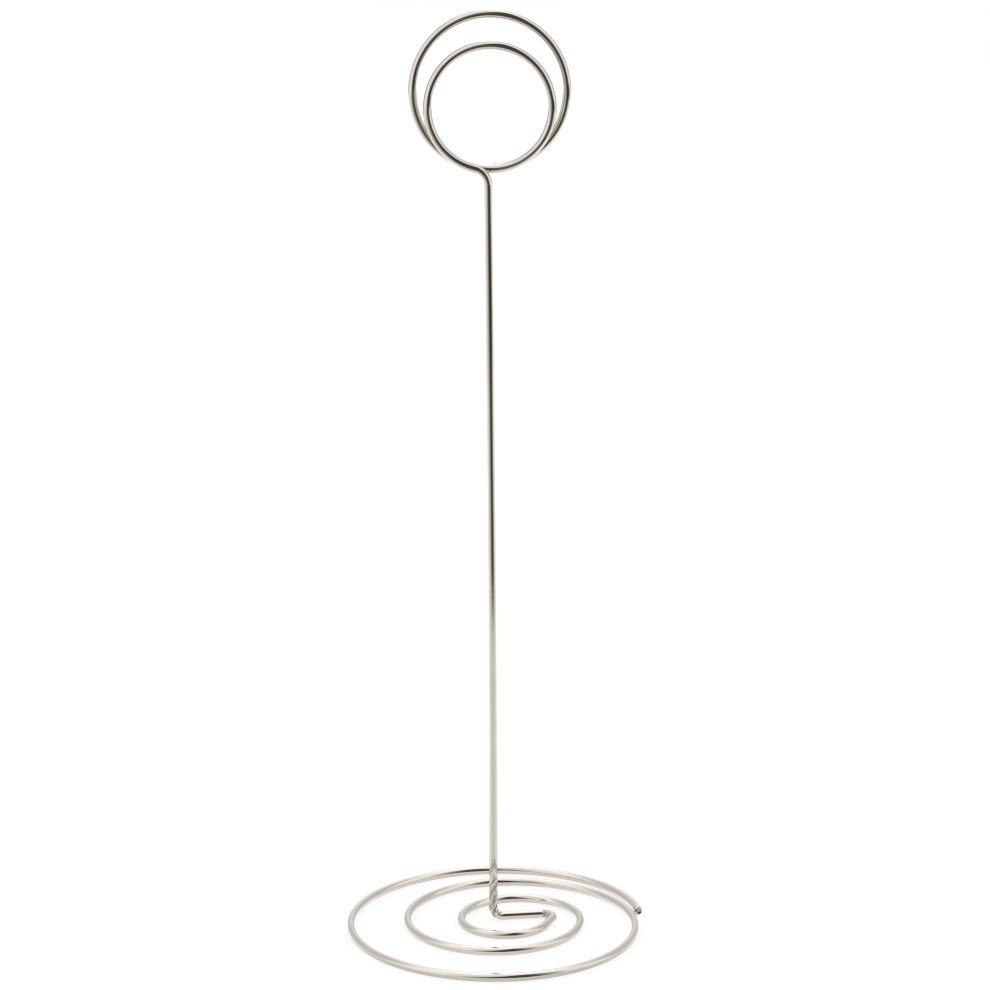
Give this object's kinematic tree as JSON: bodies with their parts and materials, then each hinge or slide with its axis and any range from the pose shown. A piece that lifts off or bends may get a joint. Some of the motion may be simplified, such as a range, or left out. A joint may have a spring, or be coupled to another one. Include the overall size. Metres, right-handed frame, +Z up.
{
  "type": "memo clip holder",
  "caption": "Memo holder bent from one length of polished round wire: a flat open coil as its base, an upright stem, and a double ring at the top that grips a card between its turns.",
  "frame": {"origin": "on the table under the stem's axis", "axes": "+Z up along the stem, +X to the right along the width of the rings, +Y to the back"},
  "size_m": [0.0721, 0.0738, 0.22],
  "materials": {
    "wire": "polished"
  },
  "bodies": {
    "root": {"wire": "wire"}
  },
  "joints": []
}
